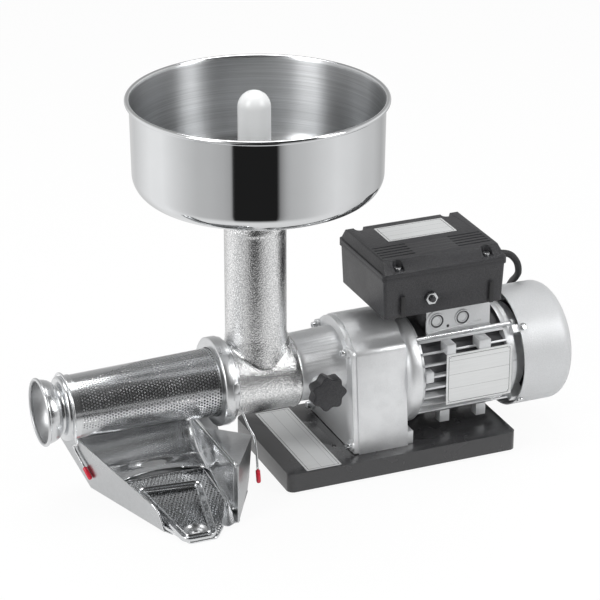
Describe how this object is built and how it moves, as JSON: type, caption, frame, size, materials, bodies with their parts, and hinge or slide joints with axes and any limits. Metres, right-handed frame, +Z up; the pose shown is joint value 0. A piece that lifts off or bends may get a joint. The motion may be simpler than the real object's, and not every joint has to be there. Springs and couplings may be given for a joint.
{
  "type": "electric tomato press",
  "caption": "Electric tomato press: a geared motor turns a screw in a perforated cone under a feed tube with a wide steel hopper and a juice chute.",
  "frame": {"origin": "middle of the machine's length and width on the standing surface, cord left out", "axes": "+X along the screw from the pulp outlet to the motor's fan, -Y is the front, +Z up"},
  "size_m": [0.625, 0.3467, 0.4502],
  "materials": {
    "cast_white": "rough cast, tinned",
    "cast_grey": "die cast, satin",
    "steel_polished": "polished stainless sheet",
    "steel_brushed": "brushed stainless sheet",
    "zinc": "zinc plated",
    "gear_steel": "machined, oiled",
    "bronze": "sintered",
    "copper": "enamelled winding",
    "frame_grey": "satin grey",
    "cowl_grey": "satin grey",
    "base_black": "fine textured powder coat",
    "black_plastic": "fine grain",
    "black_gloss": "moulded",
    "white_plastic": "moulded",
    "label_grey": "bare plate",
    "rubber_black": "matt",
    "red_plastic": "dipped"
  },
  "bodies": {
    "machine": {"base_plate": "base_black", "rubber_feet": "rubber_black", "foot_screws": "zinc", "base_label": "label_grey", "gearbox_housing": "cast_grey", "gearbox_cover": "cast_grey", "cover_screws": "zinc", "housing_bolts": "zinc", "output_bearing": "gear_steel", "rear_bush": "bronze", "lay_bushes": "bronze", "motor_shield": "cast_grey", "motor_frame": "frame_grey", "stator": "copper", "motor_bearings": "gear_steel", "rear_shield": "cast_grey", "fan_cowl": "cowl_grey", "cowl_screws": "zinc", "tie_rods": "zinc", "nameplate": "label_grey", "electrical_box": "black_plastic", "box_lid": "black_plastic", "lid_screws": "zinc", "box_label": "label_grey", "capacitor": "white_plastic", "button_nut": "zinc", "cord_gland": "black_plastic", "mains_cord": "rubber_black", "cord_coil": "rubber_black", "mains_plug": "black_gloss", "feed_body": "cast_white", "auger_bush": "white_plastic", "filter_cone": "steel_brushed", "pulp_outlet": "steel_polished", "clamp_stud": "zinc", "splash_guard": "steel_polished", "juice_tray": "steel_polished", "strainer_tray": "steel_brushed", "left_clip": "steel_polished", "right_clip": "steel_polished", "left_tip": "red_plastic", "right_tip": "red_plastic"},
    "screw": {"auger": "cast_white", "output_shaft": "gear_steel", "output_gear": "gear_steel"},
    "layshaft": {"lay_shaft": "gear_steel", "lay_wheel": "gear_steel"},
    "motor_rotor": {"rotor": "gear_steel", "motor_pinion": "gear_steel", "fan": "black_plastic"},
    "bowl": {"hopper": "steel_brushed"},
    "pusher": {"pestle": "white_plastic"},
    "collar": {"clamp_ring": "cast_white"},
    "knob": {"clamp_knob": "black_plastic"},
    "button": {"reset_button": "black_gloss"}
  },
  "joints": [
    {"name": "screw_spin", "type": "hinge", "parent": "machine", "child": "screw", "pos_m": [-0.0585, 0, 0.116], "axis": [1, 0, 0], "continuous": true},
    {"name": "layshaft_spin", "type": "hinge", "parent": "machine", "child": "layshaft", "pos_m": [0.0615, 0, 0.062], "axis": [1, 0, 0], "continuous": true},
    {"name": "motor_spin", "type": "hinge", "parent": "machine", "child": "motor_rotor", "pos_m": [0.1715, 0, 0.09638], "axis": [1, 0, 0], "continuous": true},
    {"name": "bowl_lift", "type": "slide", "parent": "machine", "child": "bowl", "axis": [0, 0, 1], "range_m": [0, 0.06]},
    {"name": "pusher_lift", "type": "slide", "parent": "machine", "child": "pusher", "axis": [0, 0, 1], "range_m": [0, 0.15]},
    {"name": "collar_turn", "type": "hinge", "parent": "machine", "child": "collar", "pos_m": [-0.1085, 0, 0.116], "axis": [1, 0, 0], "range_deg": [-25, 0]},
    {"name": "knob_turn", "type": "hinge", "parent": "machine", "child": "knob", "pos_m": [-0.0005, -0.07, 0.112], "axis": [0, -1, 0], "range_deg": [-720, 0]},
    {"name": "button_press", "type": "slide", "parent": "machine", "child": "button", "axis": [0, 1, 0], "range_m": [0, 0.003], "stiffness_N_per_m": 300}
  ],
  "couplings": [
    {"joint": "layshaft_spin", "follows": "screw_spin", "ratio": -2.8571},
    {"joint": "motor_spin", "follows": "screw_spin", "ratio": 11.429}
  ]
}
